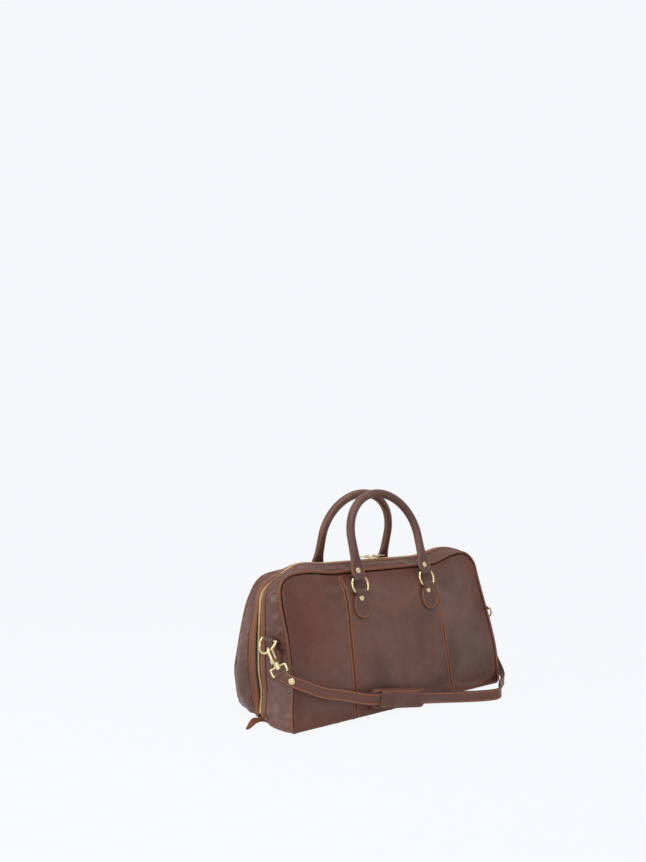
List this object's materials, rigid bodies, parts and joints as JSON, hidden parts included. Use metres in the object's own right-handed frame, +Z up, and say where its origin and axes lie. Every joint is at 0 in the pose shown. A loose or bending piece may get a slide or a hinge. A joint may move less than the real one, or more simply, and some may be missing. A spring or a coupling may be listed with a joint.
{
  "type": "weekender bag",
  "caption": "Soft leather weekender bag with a zip over the top and ends, two rolled handles on rings, and a shoulder strap with a pad clipped to D-rings.",
  "frame": {"origin": "centre of the base, on the floor", "axes": "+X along the length to the bag's right end seen from the front, the front panel faces -Y, +Z up"},
  "size_m": [0.5823, 0.2639, 0.388],
  "materials": {
    "body_leather": "soft oiled full-grain, dark brown with reddish burnish",
    "trim_leather": "burnished edges, reddish brown",
    "tab_leather": "stitched two-layer leather",
    "handle_leather": "rolled and stitched",
    "strap_leather": "edge-painted strap leather",
    "brass_hardware": "polished light gold",
    "zip_teeth": "satin",
    "zip_tape": "woven tape, black",
    "lining_cloth": "cotton twill",
    "cord": "twisted cotton cord",
    "board": "fibre board"
  },
  "bodies": {
    "root": {"base_panel": "body_leather", "base_board": "board", "base_lining": "lining_cloth", "zip_end_tabs": "trim_leather", "front_panel_left": "body_leather", "front_panel_center": "body_leather", "front_panel_right": "body_leather", "front_gusset": "body_leather", "front_piping": "trim_leather", "front_zip_welt": "trim_leather", "front_zip_tape": "zip_tape", "front_zip_teeth": "zip_teeth", "front_panel_lining": "lining_cloth", "front_gusset_lining": "lining_cloth", "front_tab_left": "tab_leather", "front_tab_right": "tab_leather", "front_tab_rivets": "brass_hardware", "side_tab_left": "tab_leather", "side_tab_right": "tab_leather", "strap": "strap_leather", "strap_rivets": "brass_hardware"},
    "rear_wall": {"rear_panel_left": "body_leather", "rear_panel_center": "body_leather", "rear_panel_right": "body_leather", "rear_gusset": "body_leather", "rear_piping": "trim_leather", "rear_zip_welt": "trim_leather", "rear_zip_tape": "zip_tape", "rear_zip_teeth": "zip_teeth", "rear_panel_lining": "lining_cloth", "rear_gusset_lining": "lining_cloth", "rear_tab_left": "tab_leather", "rear_tab_right": "tab_leather", "rear_tab_rivets": "brass_hardware"},
    "front_ring_left": {"front_ring_left": "brass_hardware"},
    "front_ring_right": {"front_ring_right": "brass_hardware"},
    "front_handle": {"front_handle": "handle_leather", "front_handle_cord": "cord", "front_handle_rivets": "brass_hardware"},
    "rear_ring_left": {"rear_ring_left": "brass_hardware"},
    "rear_ring_right": {"rear_ring_right": "brass_hardware"},
    "rear_handle": {"rear_handle": "handle_leather", "rear_handle_cord": "cord", "rear_handle_rivets": "brass_hardware"},
    "slider_left": {"slider_left": "brass_hardware"},
    "slider_right": {"slider_right": "brass_hardware"},
    "pull_left": {"pull_left": "brass_hardware"},
    "pull_right": {"pull_right": "brass_hardware"},
    "shoulder_pad": {"strap_pad": "strap_leather", "pad_sleeve": "strap_leather"},
    "d_ring_left": {"d_ring_left": "brass_hardware"},
    "swivel_left": {"swivel_left": "brass_hardware"},
    "hook_left": {"hook_left": "brass_hardware"},
    "gate_left": {"gate_left": "brass_hardware"},
    "d_ring_right": {"d_ring_right": "brass_hardware"},
    "swivel_right": {"swivel_right": "brass_hardware"},
    "hook_right": {"hook_right": "brass_hardware"},
    "gate_right": {"gate_right": "brass_hardware"}
  },
  "joints": [
    {"name": "rear_wall_open", "type": "hinge", "parent": "root", "child": "rear_wall", "pos_m": [0, 0.09413, 0.004], "axis": [-1, 0, 0], "range_deg": [0, 35]},
    {"name": "front_ring_left_swing", "type": "hinge", "parent": "root", "child": "front_ring_left", "pos_m": [-0.084, -0.06854, 0.20943], "axis": [1, 0, 0], "range_deg": [0, 60]},
    {"name": "front_ring_right_swing", "type": "hinge", "parent": "root", "child": "front_ring_right", "pos_m": [0.084, -0.06854, 0.20943], "axis": [1, 0, 0], "range_deg": [0, 60]},
    {"name": "front_handle_swing", "type": "hinge", "parent": "front_ring_left", "child": "front_handle", "pos_m": [-0.084, -0.06248, 0.23058], "axis": [1, 0, 0], "range_deg": [0, 100]},
    {"name": "rear_ring_left_swing", "type": "hinge", "parent": "rear_wall", "child": "rear_ring_left", "pos_m": [-0.084, 0.06854, 0.20943], "axis": [-1, 0, 0], "range_deg": [0, 60]},
    {"name": "rear_ring_right_swing", "type": "hinge", "parent": "rear_wall", "child": "rear_ring_right", "pos_m": [0.084, 0.06854, 0.20943], "axis": [-1, 0, 0], "range_deg": [0, 60]},
    {"name": "rear_handle_swing", "type": "hinge", "parent": "rear_ring_left", "child": "rear_handle", "pos_m": [-0.084, 0.06248, 0.23058], "axis": [-1, 0, 0], "range_deg": [0, 100]},
    {"name": "slider_left_run", "type": "slide", "parent": "root", "child": "slider_left", "axis": [-1, 0, 0], "range_m": [0, 0.085]},
    {"name": "slider_right_run", "type": "slide", "parent": "root", "child": "slider_right", "axis": [1, 0, 0], "range_m": [0, 0.085]},
    {"name": "pull_left_flip", "type": "hinge", "parent": "slider_left", "child": "pull_left", "pos_m": [-0.008, 0, 0.2608], "axis": [0, 1, 0], "range_deg": [0, 120]},
    {"name": "pull_right_flip", "type": "hinge", "parent": "slider_right", "child": "pull_right", "pos_m": [0.008, 0, 0.2608], "axis": [0, -1, 0], "range_deg": [0, 120]},
    {"name": "d_ring_left_swing", "type": "hinge", "parent": "root", "child": "d_ring_left", "pos_m": [-0.262, -0.042, 0.143], "axis": [0, 1, 0], "range_deg": [-0.5, 0.5]},
    {"name": "swivel_left_rock", "type": "hinge", "parent": "root", "child": "swivel_left", "pos_m": [-0.2619, -0.07539, 0.0945], "axis": [-0.6246, 0.6246, -0.4688], "range_deg": [-0.5, 0.5]},
    {"name": "hook_left_turn", "type": "hinge", "parent": "swivel_left", "child": "hook_left", "pos_m": [-0.26431, -0.06997, 0.10493], "axis": [-0.2008, 0.4517, 0.8693], "range_deg": [-5, 5]},
    {"name": "gate_left_press", "type": "hinge", "parent": "hook_left", "child": "gate_left", "pos_m": [-0.25993, -0.06142, 0.11415], "axis": [0.4347, -0.7541, 0.4923], "range_deg": [0, 20], "stiffness_Nm_per_rad": 0.02},
    {"name": "d_ring_right_swing", "type": "hinge", "parent": "root", "child": "d_ring_right", "pos_m": [0.274, -0.042, 0.143], "axis": [0, -1, 0], "range_deg": [-0.5, 0.5]},
    {"name": "swivel_right_rock", "type": "hinge", "parent": "root", "child": "swivel_right", "pos_m": [0.28312, -0.04597, 0.08335], "axis": [-0.241, -0.9642, 0.1109], "range_deg": [-0.5, 0.5]},
    {"name": "hook_right_turn", "type": "hinge", "parent": "swivel_right", "child": "hook_right", "pos_m": [0.28383, -0.04478, 0.09527], "axis": [-0.0596, -0.0993, -0.9933], "range_deg": [-5, 5]},
    {"name": "gate_right_press", "type": "hinge", "parent": "hook_right", "child": "gate_right", "pos_m": [0.277, -0.04369, 0.10665], "axis": [-0.0059, 0.9951, -0.0991], "range_deg": [0, 20], "stiffness_Nm_per_rad": 0.02},
    {"name": "pad_shift", "type": "slide", "parent": "root", "child": "shoulder_pad", "axis": [0.9894, -0.0239, -0.1433], "range_m": [-0.005, 0.005]}
  ],
  "couplings": [
    {"joint": "front_ring_right_swing", "follows": "front_ring_left_swing", "ratio": 1},
    {"joint": "rear_ring_right_swing", "follows": "rear_ring_left_swing", "ratio": 1}
  ]
}
